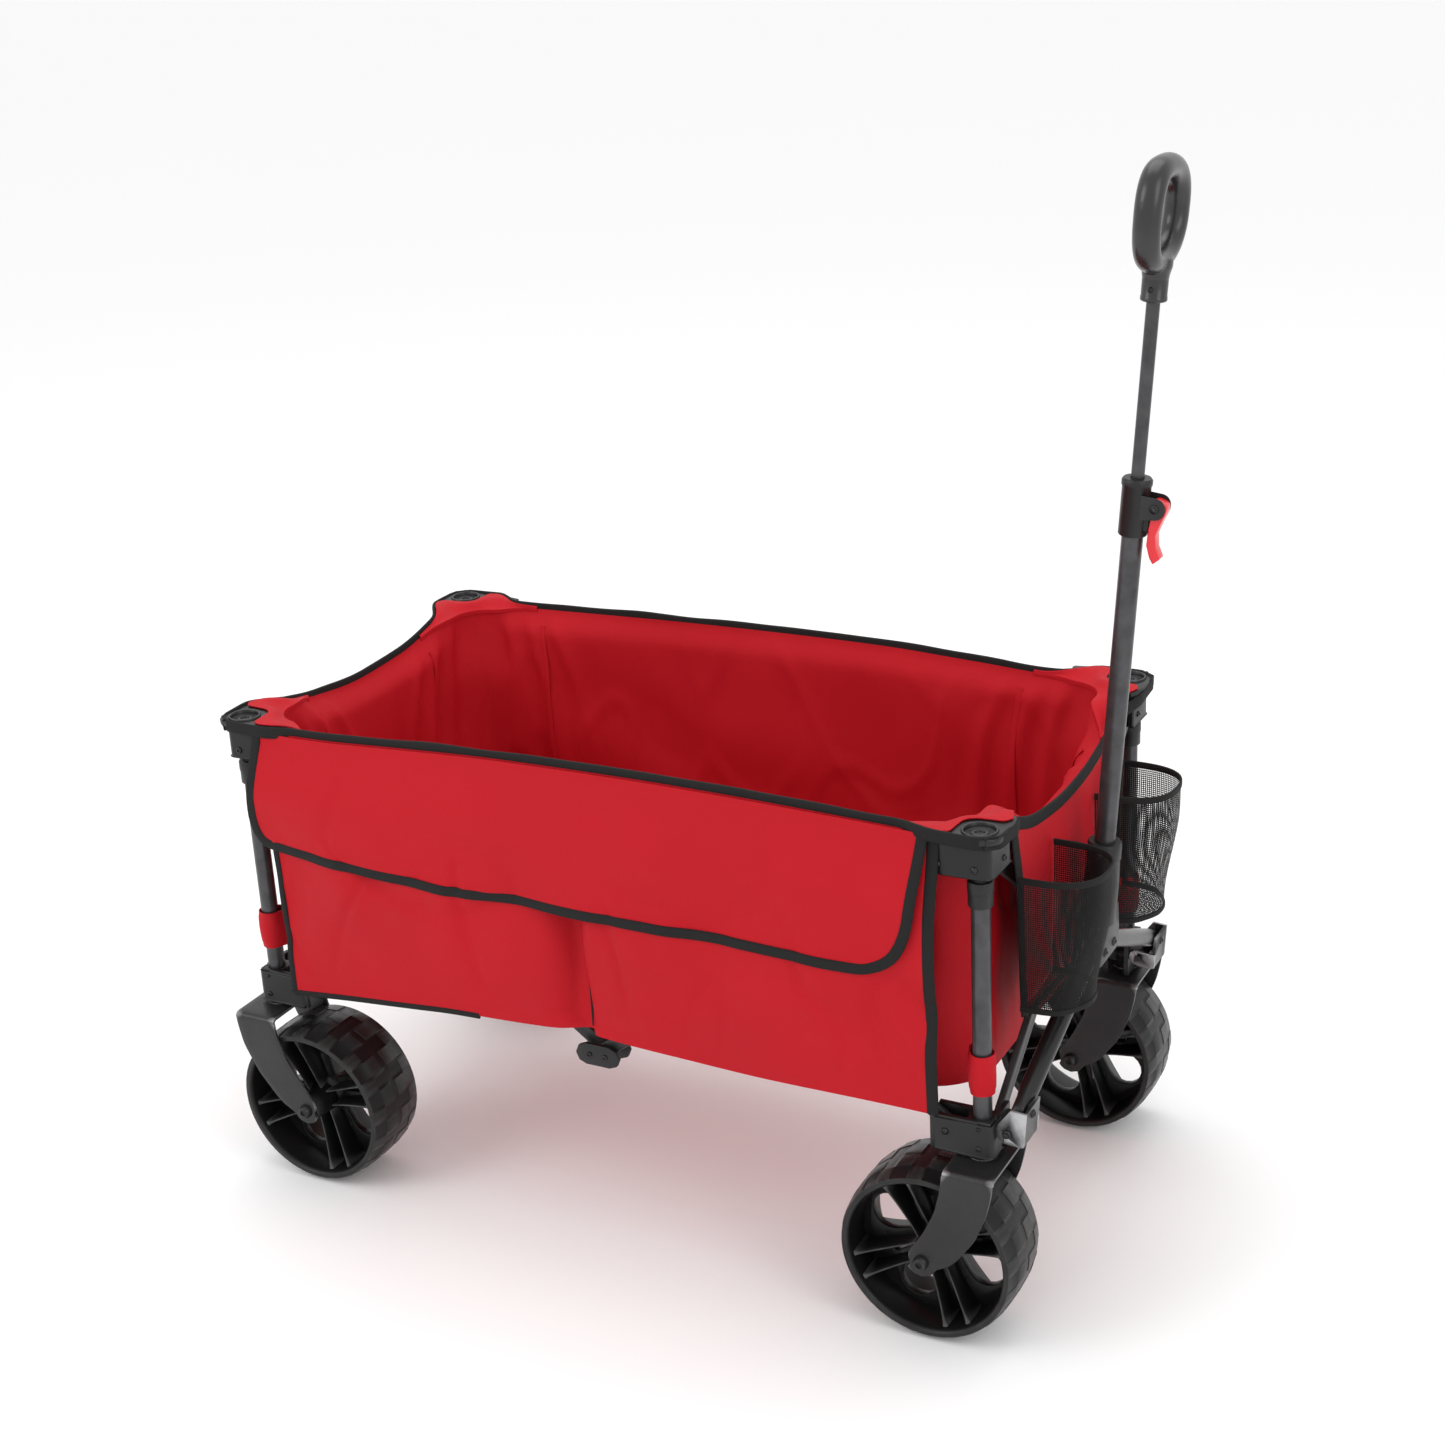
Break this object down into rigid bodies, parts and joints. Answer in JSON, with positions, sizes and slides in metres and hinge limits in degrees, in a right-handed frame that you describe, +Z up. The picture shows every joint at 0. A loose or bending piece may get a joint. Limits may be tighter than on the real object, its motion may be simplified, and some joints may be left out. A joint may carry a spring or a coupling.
{
  "type": "folding wagon with pull handle",
  "caption": "Folding utility wagon with a cloth basket on crossed steel bars, wide wheels on forks and casters, and a telescoping pull handle.",
  "frame": {"origin": "centre of the footprint's bounding box, on the ground under the four wheels", "axes": "+X towards the pull handle, +Y to the wagon's left, +Z up"},
  "size_m": [1.008, 0.5476, 1.141],
  "materials": {
    "red_cloth": "matte woven",
    "black_mesh": "open mesh",
    "dark_steel": "hammered powder coat",
    "black_plastic": "fine grain",
    "wheel_plastic": "satin moulded",
    "red_plastic": "gloss",
    "bright_steel": "zinc plated"
  },
  "bodies": {
    "base": {"bracket_rear_right": "black_plastic", "post_rear_right": "dark_steel", "fork_rear_right": "dark_steel", "axle_rear_right": "bright_steel"},
    "corner_rear_left": {"bracket_rear_left": "black_plastic", "post_rear_left": "dark_steel", "fork_rear_left": "dark_steel", "axle_rear_left": "bright_steel"},
    "corner_front_right": {"bracket_front_right": "black_plastic", "post_front_right": "dark_steel"},
    "corner_front_left": {"bracket_front_left": "black_plastic", "post_front_left": "dark_steel"},
    "caster_front_right": {"fork_front_right": "dark_steel", "axle_front_right": "bright_steel"},
    "caster_front_left": {"fork_front_left": "dark_steel", "axle_front_left": "bright_steel"},
    "cap_rear_right": {"cap_rear_right": "black_plastic", "inner_post_rear_right": "dark_steel", "fabric_side_right": "red_cloth", "fabric_rear": "red_cloth"},
    "cap_front_right": {"cap_front_right": "black_plastic", "inner_post_front_right": "dark_steel", "fabric_front": "red_cloth", "cup_holder_right": "black_mesh", "cup_holder_left": "black_mesh"},
    "cap_rear_left": {"cap_rear_left": "black_plastic", "inner_post_rear_left": "dark_steel", "fabric_side_left": "red_cloth"},
    "cap_front_left": {"cap_front_left": "black_plastic", "inner_post_front_left": "dark_steel"},
    "wheel_rear_right": {"wheel_rear_right": "wheel_plastic"},
    "wheel_front_right": {"wheel_front_right": "wheel_plastic"},
    "wheel_rear_left": {"wheel_rear_left": "wheel_plastic"},
    "wheel_front_left": {"wheel_front_left": "wheel_plastic"},
    "brace_right_rear_a": {"brace_right_rear_a": "dark_steel"},
    "brace_right_rear_b": {"brace_right_rear_b": "dark_steel"},
    "brace_right_front_a": {"brace_right_front_a": "dark_steel"},
    "brace_right_front_b": {"brace_right_front_b": "dark_steel"},
    "centre_joint_right": {"centre_joint_right": "black_plastic"},
    "brace_left_rear_a": {"brace_left_rear_a": "dark_steel"},
    "brace_left_rear_b": {"brace_left_rear_b": "dark_steel"},
    "brace_left_front_a": {"brace_left_front_a": "dark_steel"},
    "brace_left_front_b": {"brace_left_front_b": "dark_steel"},
    "centre_joint_left": {"centre_joint_left": "black_plastic"},
    "brace_front_a": {"brace_front_a": "dark_steel"},
    "brace_front_b": {"brace_front_b": "dark_steel"},
    "brace_rear_a": {"brace_rear_a": "dark_steel"},
    "brace_rear_b": {"brace_rear_b": "dark_steel"},
    "floor_rear": {"floor_rear": "red_cloth"},
    "floor_front": {"floor_front": "red_cloth"},
    "yoke_clevis_right": {"yoke_clevis_right": "dark_steel"},
    "yoke_tube_right": {"yoke_tube_right": "dark_steel"},
    "yoke_clevis_left": {"yoke_clevis_left": "dark_steel"},
    "yoke_tube_left": {"yoke_tube_left": "dark_steel"},
    "handle": {"handle_socket": "black_plastic", "handle_outer_tube": "dark_steel", "handle_clamp": "black_plastic"},
    "handle_upper": {"handle_inner_tube": "dark_steel", "handle_grip": "black_plastic"},
    "clamp_lever": {"clamp_lever": "red_plastic"}
  },
  "joints": [
    {"name": "fold", "type": "hinge", "parent": "base", "child": "brace_right_rear_a", "pos_m": [-0.427, -0.22, 0.228], "axis": [0, -1, 0], "range_deg": [0, 38.5], "deforming": ["fabric_side_right", "fabric_rear", "fabric_front", "cup_holder_right", "cup_holder_left", "fabric_side_left", "floor_rear", "floor_front"]},
    {"name": "right_rear_cross", "type": "hinge", "parent": "brace_right_rear_a", "child": "brace_right_rear_b", "pos_m": [-0.231, -0.22, 0.373], "axis": [0, -1, 0], "range_deg": [-77, 0]},
    {"name": "right_front_a", "type": "hinge", "parent": "brace_right_rear_b", "child": "brace_right_front_a", "pos_m": [-0.035, -0.22, 0.228], "axis": [0, -1, 0], "range_deg": [0, 77]},
    {"name": "right_front_b", "type": "hinge", "parent": "brace_right_rear_a", "child": "brace_right_front_b", "pos_m": [-0.035, -0.22, 0.518], "axis": [0, -1, 0], "range_deg": [-77, 0]},
    {"name": "right_centre_joint", "type": "hinge", "parent": "brace_right_rear_b", "child": "centre_joint_right", "pos_m": [-0.035, -0.22, 0.228], "axis": [0, -1, 0], "range_deg": [0, 38.5]},
    {"name": "cap_rear_right", "type": "hinge", "parent": "brace_right_rear_b", "child": "cap_rear_right", "pos_m": [-0.427, -0.22, 0.518], "axis": [0, -1, 0], "range_deg": [0, 38.5]},
    {"name": "cap_front_right", "type": "hinge", "parent": "brace_right_front_a", "child": "cap_front_right", "pos_m": [0.357, -0.22, 0.518], "axis": [0, -1, 0], "range_deg": [-38.5, 0]},
    {"name": "corner_front_right", "type": "hinge", "parent": "brace_right_front_b", "child": "corner_front_right", "pos_m": [0.357, -0.22, 0.228], "axis": [0, -1, 0], "range_deg": [0, 38.5]},
    {"name": "front_a", "type": "hinge", "parent": "corner_front_right", "child": "brace_front_a", "pos_m": [0.395, -0.196, 0.228], "axis": [1, 0, 0], "range_deg": [0, 38.5]},
    {"name": "front_cross", "type": "hinge", "parent": "brace_front_a", "child": "brace_front_b", "pos_m": [0.395, 0, 0.373], "axis": [1, 0, 0], "range_deg": [-77, 0]},
    {"name": "corner_front_left", "type": "hinge", "parent": "brace_front_b", "child": "corner_front_left", "pos_m": [0.395, 0.196, 0.228], "axis": [1, 0, 0], "range_deg": [0, 38.5]},
    {"name": "cap_front_left", "type": "hinge", "parent": "brace_front_a", "child": "cap_front_left", "pos_m": [0.395, 0.196, 0.518], "axis": [1, 0, 0], "range_deg": [-38.5, 0]},
    {"name": "rear_a", "type": "hinge", "parent": "base", "child": "brace_rear_a", "pos_m": [-0.465, -0.196, 0.228], "axis": [1, 0, 0], "range_deg": [0, 38.5]},
    {"name": "rear_cross", "type": "hinge", "parent": "brace_rear_a", "child": "brace_rear_b", "pos_m": [-0.465, 0, 0.373], "axis": [1, 0, 0], "range_deg": [-77, 0]},
    {"name": "corner_rear_left", "type": "hinge", "parent": "brace_rear_b", "child": "corner_rear_left", "pos_m": [-0.465, 0.196, 0.228], "axis": [1, 0, 0], "range_deg": [0, 38.5]},
    {"name": "cap_rear_left", "type": "hinge", "parent": "brace_rear_a", "child": "cap_rear_left", "pos_m": [-0.465, 0.196, 0.518], "axis": [1, 0, 0], "range_deg": [-38.5, 0]},
    {"name": "left_rear_a", "type": "hinge", "parent": "corner_rear_left", "child": "brace_left_rear_a", "pos_m": [-0.427, 0.22, 0.228], "axis": [0, -1, 0], "range_deg": [0, 38.5]},
    {"name": "left_rear_cross", "type": "hinge", "parent": "brace_left_rear_a", "child": "brace_left_rear_b", "pos_m": [-0.231, 0.22, 0.373], "axis": [0, -1, 0], "range_deg": [-77, 0]},
    {"name": "left_front_a", "type": "hinge", "parent": "brace_left_rear_b", "child": "brace_left_front_a", "pos_m": [-0.035, 0.22, 0.228], "axis": [0, -1, 0], "range_deg": [0, 77]},
    {"name": "left_front_b", "type": "hinge", "parent": "brace_left_rear_a", "child": "brace_left_front_b", "pos_m": [-0.035, 0.22, 0.518], "axis": [0, -1, 0], "range_deg": [-77, 0]},
    {"name": "left_centre_joint", "type": "hinge", "parent": "brace_left_rear_b", "child": "centre_joint_left", "pos_m": [-0.035, 0.22, 0.228], "axis": [0, -1, 0], "range_deg": [0, 38.5]},
    {"name": "floor_rear", "type": "hinge", "parent": "cap_rear_right", "child": "floor_rear", "pos_m": [-0.4467, 0, 0.25], "axis": [0, -1, 0], "range_deg": [0, 69.3]},
    {"name": "floor_front", "type": "hinge", "parent": "cap_front_right", "child": "floor_front", "pos_m": [0.3767, 0, 0.25], "axis": [0, 1, 0], "range_deg": [0, 69.3]},
    {"name": "caster_right_swivel", "type": "hinge", "parent": "corner_front_right", "child": "caster_front_right", "pos_m": [0.395, -0.22, 0.2045], "axis": [0, 0, 1], "continuous": true},
    {"name": "wheel_front_right_spin", "type": "hinge", "parent": "caster_front_right", "child": "wheel_front_right", "pos_m": [0.347, -0.22, 0.095], "axis": [0, 1, 0], "continuous": true},
    {"name": "wheel_rear_right_spin", "type": "hinge", "parent": "base", "child": "wheel_rear_right", "pos_m": [-0.409, -0.22, 0.095], "axis": [0, 1, 0], "continuous": true},
    {"name": "caster_left_swivel", "type": "hinge", "parent": "corner_front_left", "child": "caster_front_left", "pos_m": [0.395, 0.22, 0.2045], "axis": [0, 0, 1], "continuous": true},
    {"name": "wheel_front_left_spin", "type": "hinge", "parent": "caster_front_left", "child": "wheel_front_left", "pos_m": [0.347, 0.22, 0.095], "axis": [0, 1, 0], "continuous": true},
    {"name": "wheel_rear_left_spin", "type": "hinge", "parent": "corner_rear_left", "child": "wheel_rear_left", "pos_m": [-0.409, 0.22, 0.095], "axis": [0, 1, 0], "continuous": true},
    {"name": "handle_tilt", "type": "hinge", "parent": "corner_front_right", "child": "yoke_clevis_right", "pos_m": [0.4215, -0.203, 0.234], "axis": [0, 1, 0], "range_deg": [-3, 85]},
    {"name": "handle_tilt_left", "type": "hinge", "parent": "corner_front_left", "child": "yoke_clevis_left", "pos_m": [0.4215, 0.203, 0.234], "axis": [0, 1, 0], "range_deg": [-3, 85]},
    {"name": "yoke_right", "type": "hinge", "parent": "yoke_clevis_right", "child": "yoke_tube_right", "pos_m": [0.42729, -0.203, 0.25112], "axis": [0.9973, 0, -0.0741], "range_deg": [0, 50.05]},
    {"name": "handle_hub", "type": "hinge", "parent": "yoke_tube_right", "child": "handle", "pos_m": [0.43382, -0.014, 0.33901], "axis": [0.9973, 0, -0.0741], "range_deg": [-50.05, 0]},
    {"name": "yoke_left", "type": "hinge", "parent": "yoke_clevis_left", "child": "yoke_tube_left", "pos_m": [0.42729, 0.203, 0.25112], "axis": [0.9973, 0, -0.0741], "range_deg": [-50.05, 0]},
    {"name": "handle_slide", "type": "slide", "parent": "handle", "child": "handle_upper", "axis": [0.0741, 0, 0.9973], "range_m": [-0.165, 0]},
    {"name": "lever", "type": "hinge", "parent": "handle", "child": "clamp_lever", "pos_m": [0.49098, 0, 0.81144], "axis": [0, -1, 0], "range_deg": [0, 110]}
  ],
  "couplings": [
    {"joint": "right_rear_cross", "follows": "fold", "ratio": -2},
    {"joint": "right_front_a", "follows": "fold", "ratio": 2},
    {"joint": "right_front_b", "follows": "fold", "ratio": -2},
    {"joint": "right_centre_joint", "follows": "fold", "ratio": 1},
    {"joint": "cap_rear_right", "follows": "fold", "ratio": 1},
    {"joint": "cap_front_right", "follows": "fold", "ratio": -1},
    {"joint": "corner_front_right", "follows": "fold", "ratio": 1},
    {"joint": "front_a", "follows": "fold", "ratio": 1},
    {"joint": "front_cross", "follows": "fold", "ratio": -2},
    {"joint": "corner_front_left", "follows": "fold", "ratio": 1},
    {"joint": "cap_front_left", "follows": "fold", "ratio": -1},
    {"joint": "rear_a", "follows": "fold", "ratio": 1},
    {"joint": "rear_cross", "follows": "fold", "ratio": -2},
    {"joint": "corner_rear_left", "follows": "fold", "ratio": 1},
    {"joint": "cap_rear_left", "follows": "fold", "ratio": -1},
    {"joint": "left_rear_a", "follows": "fold", "ratio": 1},
    {"joint": "left_rear_cross", "follows": "fold", "ratio": -2},
    {"joint": "left_front_a", "follows": "fold", "ratio": 2},
    {"joint": "left_front_b", "follows": "fold", "ratio": -2},
    {"joint": "left_centre_joint", "follows": "fold", "ratio": 1},
    {"joint": "floor_rear", "follows": "fold", "ratio": 1.8},
    {"joint": "floor_front", "follows": "fold", "ratio": 1.8},
    {"joint": "handle_tilt_left", "follows": "handle_tilt", "ratio": 1},
    {"joint": "yoke_right", "follows": "fold", "ratio": 1.3},
    {"joint": "handle_hub", "follows": "fold", "ratio": -1.3},
    {"joint": "yoke_left", "follows": "fold", "ratio": -1.3}
  ]
}
